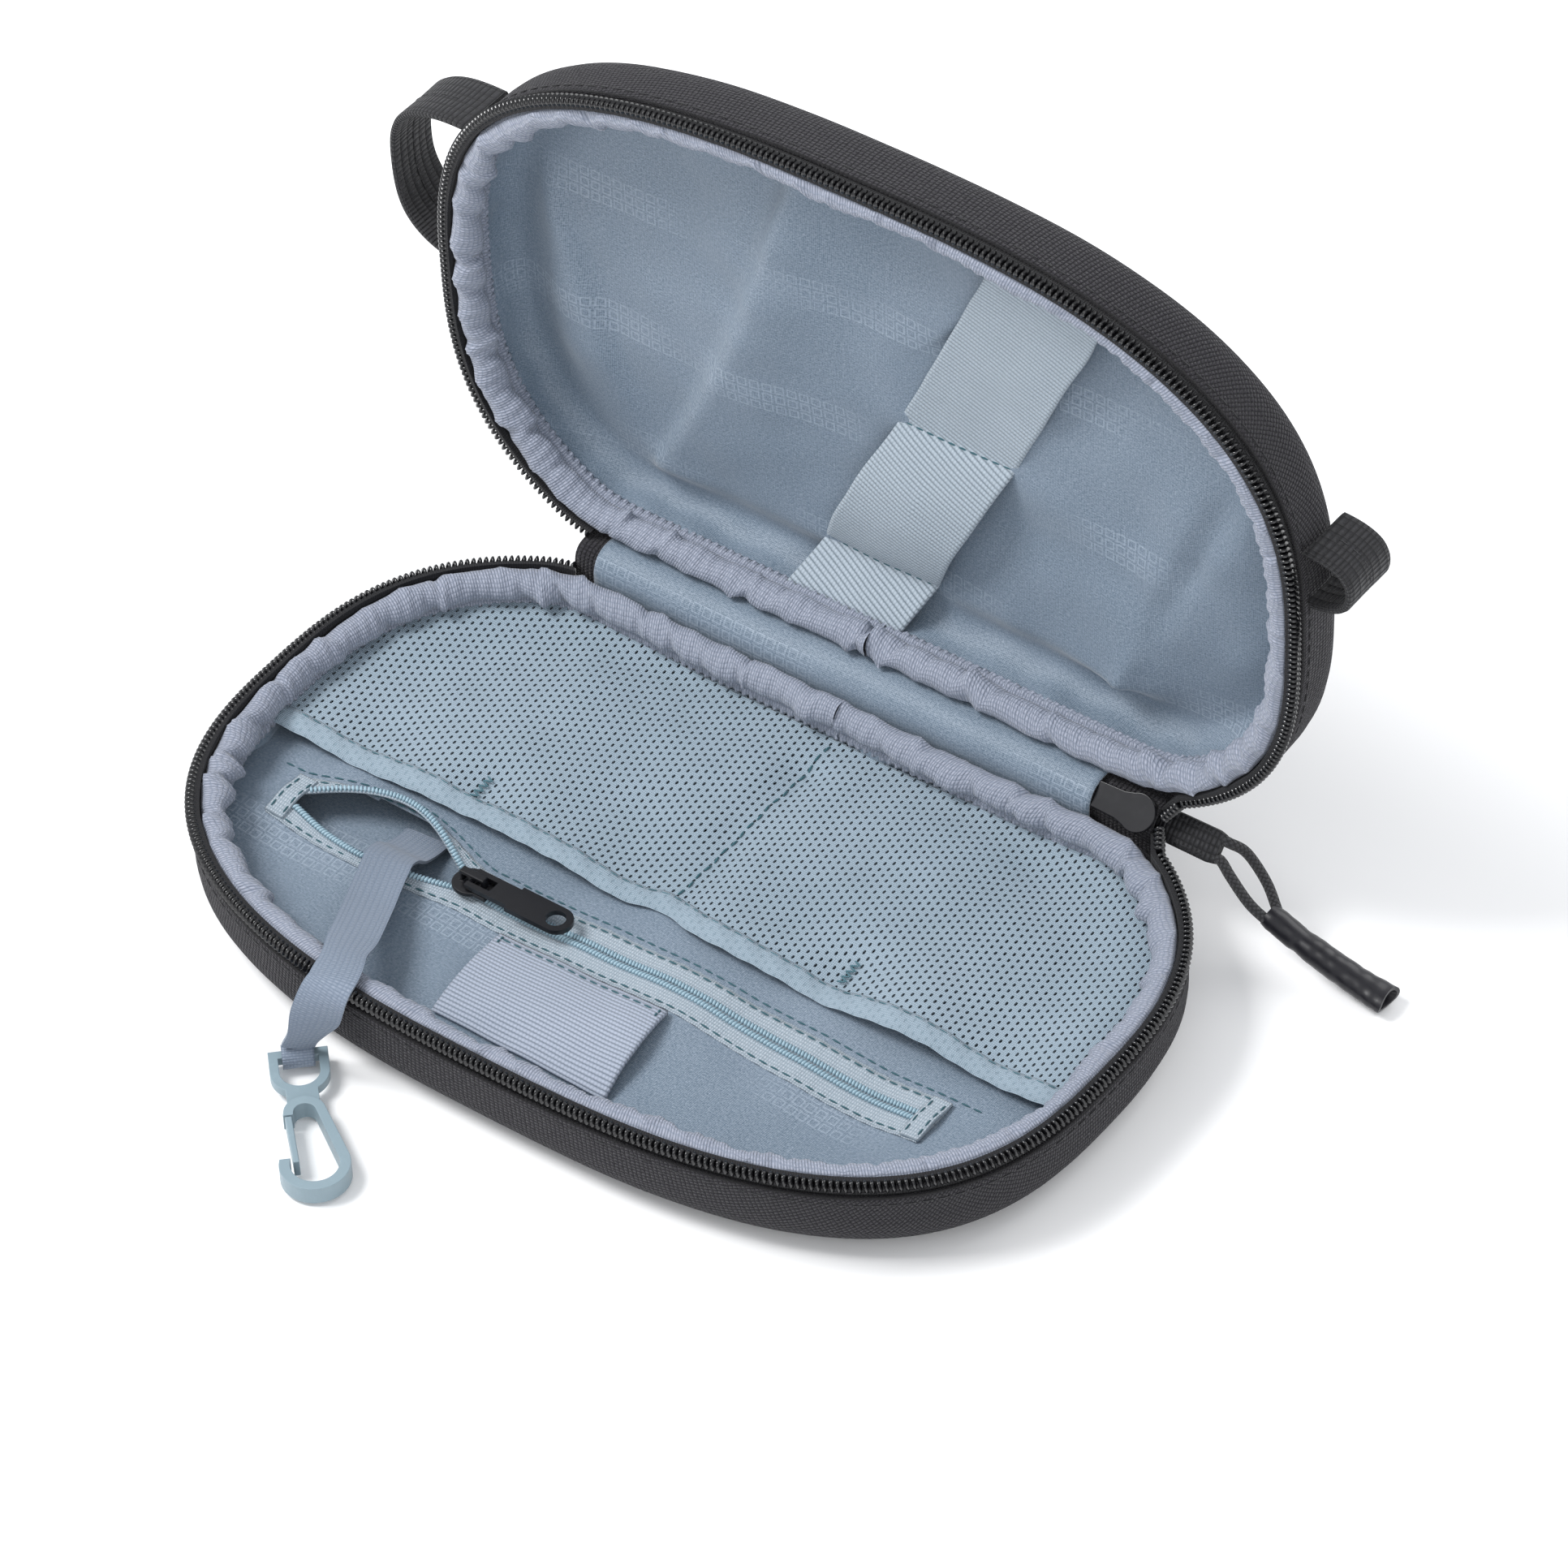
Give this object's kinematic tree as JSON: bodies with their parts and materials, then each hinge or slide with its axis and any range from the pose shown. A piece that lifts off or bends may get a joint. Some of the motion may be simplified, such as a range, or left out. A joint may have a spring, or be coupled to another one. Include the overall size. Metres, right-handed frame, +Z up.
{
  "type": "cable organizer pouch",
  "caption": "Clamshell cable organizer pouch, open: zip rims, bound lining, elastic band, mesh and zip pockets, key lanyard.",
  "frame": {"origin": "middle of the base's outline, on the base's flat outer face", "axes": "+X along the hinge, +Y from the front to the lid, +Z up; the lid stands open at a right angle"},
  "size_m": [0.2457, 0.1825, 0.149],
  "materials": {
    "outer_fabric": "coarse matte weave",
    "foam": "soft foam",
    "lining": "fine nylon weave",
    "binding": "rolled grosgrain tape",
    "zip_tape": "knitted tape",
    "zip_coil": "glossy coil",
    "pocket_zip": "knitted tape",
    "pocket_coil": "fine coil",
    "slider_black": "black lacquer",
    "slider_grey": "satin moulded",
    "mesh": "knitted mesh",
    "thread": "sewing thread",
    "elastic": "ribbed elastic",
    "webbing": "woven webbing",
    "cord": "braided cord",
    "grip_rubber": "heat-shrink tube",
    "strap": "woven ribbon",
    "clip_plastic": "satin moulded"
  },
  "bodies": {
    "base": {"base_shell": "outer_fabric", "base_padding": "foam", "base_lining": "lining", "base_binding": "binding", "base_zip_tape": "zip_tape", "base_zip_coil": "zip_coil", "base_hinge_fabric": "outer_fabric", "base_hinge_lining": "lining", "zip_end_left": "zip_tape", "zip_end_right": "zip_tape", "pocket_panel": "lining", "pocket_tape_rear": "pocket_zip", "pocket_tape_front": "pocket_zip", "pocket_coil_rear": "pocket_coil", "pocket_coil_front": "pocket_coil", "pocket_end_left": "pocket_zip", "pocket_end_right": "pocket_zip", "mesh_pocket": "mesh", "mesh_hem": "mesh", "mesh_divider": "thread", "pen_loop": "elastic", "lanyard_inner": "strap"},
    "lid": {"lid_shell": "outer_fabric", "lid_padding": "foam", "lid_lining": "lining", "lid_binding": "binding", "lid_zip_tape": "zip_tape", "lid_zip_coil": "zip_coil", "lid_hinge_fabric": "outer_fabric", "lid_hinge_lining": "lining", "elastic_band": "elastic", "grab_loop": "webbing", "tab_loop": "webbing"},
    "main_slider": {"main_slider": "slider_grey", "main_bail": "slider_grey"},
    "main_pull": {"pull_tab": "webbing", "pull_cord": "cord", "pull_grip": "grip_rubber"},
    "pocket_slider": {"pocket_slider": "slider_black"},
    "pocket_pull": {"pocket_pull": "slider_black"},
    "lanyard": {"lanyard_outer": "strap", "lanyard_bartack": "thread"},
    "clip": {"clip_body": "clip_plastic"},
    "clip_gate": {"clip_gate": "clip_plastic"}
  },
  "joints": [
    {"name": "lid_hinge", "type": "hinge", "parent": "base", "child": "lid", "pos_m": [0, 0.06, 0.0216], "axis": [1, 0, 0], "range_deg": [-88, 88.5]},
    {"name": "main_slider_tilt", "type": "hinge", "parent": "base", "child": "main_slider", "pos_m": [0.066, 0.06, 0.0216], "axis": [1, 0, 0], "range_deg": [-44, 44.25]},
    {"name": "main_pull_swing", "type": "hinge", "parent": "main_slider", "child": "main_pull", "pos_m": [0.07, 0.06248, 0.01912], "axis": [0, 0.7071, 0.7071], "range_deg": [-5, 45]},
    {"name": "pocket_slider_slide", "type": "slide", "parent": "base", "child": "pocket_slider", "axis": [1, 0, 0], "range_m": [0, 0.09]},
    {"name": "pocket_pull_flip", "type": "hinge", "parent": "pocket_slider", "child": "pocket_pull", "pos_m": [-0.0355, -0.022, 0.01315], "axis": [0, 1, 0], "range_deg": [-170, 0]},
    {"name": "lanyard_lift", "type": "hinge", "parent": "base", "child": "lanyard", "pos_m": [-0.035, -0.0667, 0.0222], "axis": [1, 0, 0], "range_deg": [-80, 0]},
    {"name": "clip_swivel", "type": "hinge", "parent": "lanyard", "child": "clip", "pos_m": [-0.041, -0.072, 0.0025], "axis": [0.7254, 0.6884, 0], "range_deg": [-10, 90]},
    {"name": "clip_gate_spring", "type": "hinge", "parent": "clip", "child": "clip_gate", "pos_m": [-0.03114, -0.08718, 0.0025], "axis": [0, 0, 1], "range_deg": [0, 18], "stiffness_Nm_per_rad": 0.02}
  ],
  "couplings": [
    {"joint": "main_slider_tilt", "follows": "lid_hinge", "ratio": 0.5}
  ]
}
